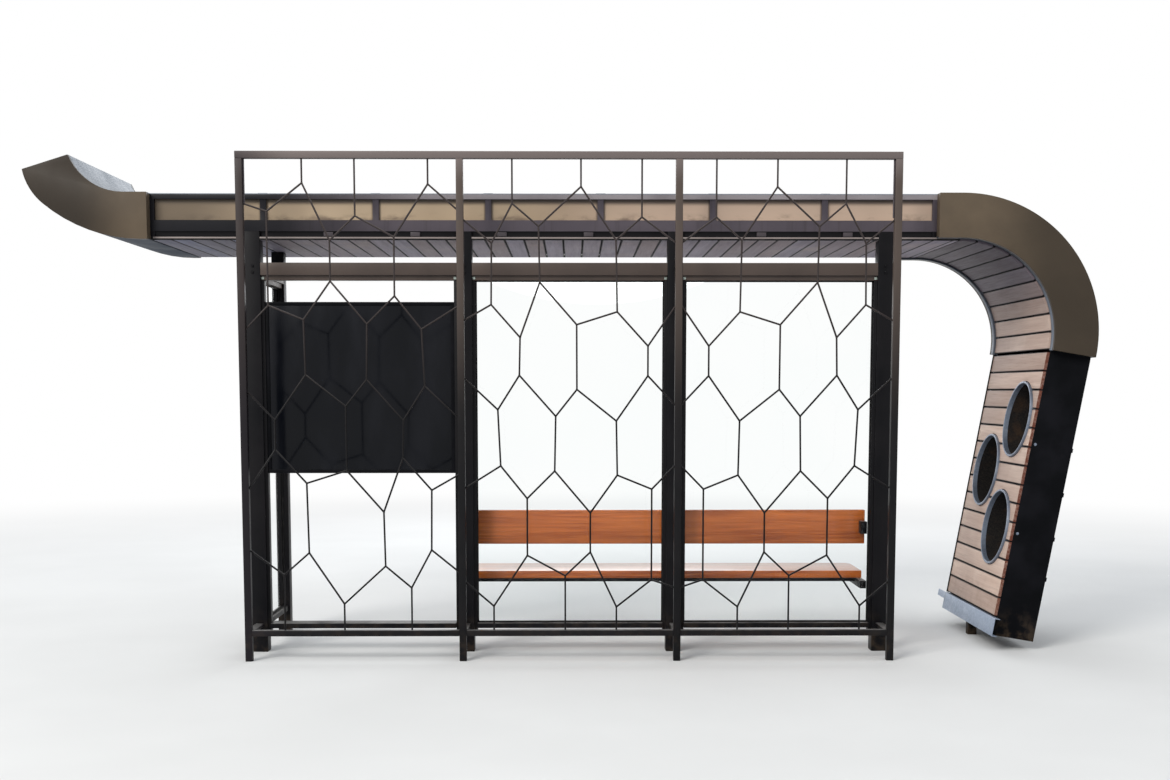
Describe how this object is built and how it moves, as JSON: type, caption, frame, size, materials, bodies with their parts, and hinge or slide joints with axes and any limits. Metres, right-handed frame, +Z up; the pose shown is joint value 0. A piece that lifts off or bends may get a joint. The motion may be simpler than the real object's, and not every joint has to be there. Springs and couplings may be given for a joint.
{
  "type": "bus shelter",
  "caption": "Open bus shelter with a ribbon roof that sweeps up at one end and folds down into a planted leg at the other, with a bench, a glazed back and a climbing frame.",
  "frame": {"origin": "on the ground, at the centre of the second back column foot, counted from the upswept end", "axes": "+X along the shelter towards the planted leg, +Y from the climbing frame towards the road side, +Z up"},
  "size_m": [6.8236, 1.662, 3.1793],
  "materials": {
    "trellis_steel": "satin dark grey paint",
    "frame_steel": "satin dark grey-brown paint",
    "clear_glass": "clear",
    "black_panel": "glossy black",
    "bench_timber": "oiled orange-brown planks",
    "roof_frame_steel": "satin dark grey-brown paint",
    "bronze_sheet": "bronze paint, slightly stained",
    "roof_sheet": "plain, matt",
    "composite_boards": "fine grain, matt",
    "slate_sheet": "smooth slate blue paint",
    "black_steel": "black primer, dusty",
    "galvanised_steel": "galvanised, matt"
  },
  "bodies": {
    "root": {"trellis_post_1": "trellis_steel", "trellis_post_2": "trellis_steel", "trellis_post_3": "trellis_steel", "trellis_post_4": "trellis_steel", "trellis_top_rail": "trellis_steel", "trellis_bottom_rail": "trellis_steel", "trellis_net_1": "trellis_steel", "trellis_net_2": "trellis_steel", "trellis_net_3": "trellis_steel", "trellis_ties": "trellis_steel", "column_1": "frame_steel", "column_2": "frame_steel", "column_3": "frame_steel", "column_4": "frame_steel", "front_post": "frame_steel", "back_beam": "frame_steel", "side_beam": "frame_steel", "base_rail": "frame_steel", "back_glass": "clear_glass", "side_glass": "clear_glass", "display_panel": "black_panel", "bench_seat": "bench_timber", "bench_back": "bench_timber", "bench_brackets": "frame_steel", "rear_roof_frame": "roof_frame_steel", "front_roof_frame": "roof_frame_steel", "fascia_panels": "bronze_sheet", "roof_sheet": "roof_sheet", "soffit_boards": "composite_boards", "arch_cheeks": "bronze_sheet", "arch_skin": "bronze_sheet", "arch_boards": "composite_boards", "arch_trims": "slate_sheet", "upsweep_cheeks": "bronze_sheet", "upsweep_underside": "slate_sheet", "upsweep_end": "slate_sheet", "leg_side_rear": "black_steel", "leg_side_front": "black_steel", "leg_back": "black_steel", "leg_boards": "composite_boards", "planter_1": "galvanised_steel", "planter_2": "galvanised_steel", "planter_3": "galvanised_steel", "leg_skirt": "galvanised_steel", "leg_foot": "black_steel"}
  },
  "joints": []
}
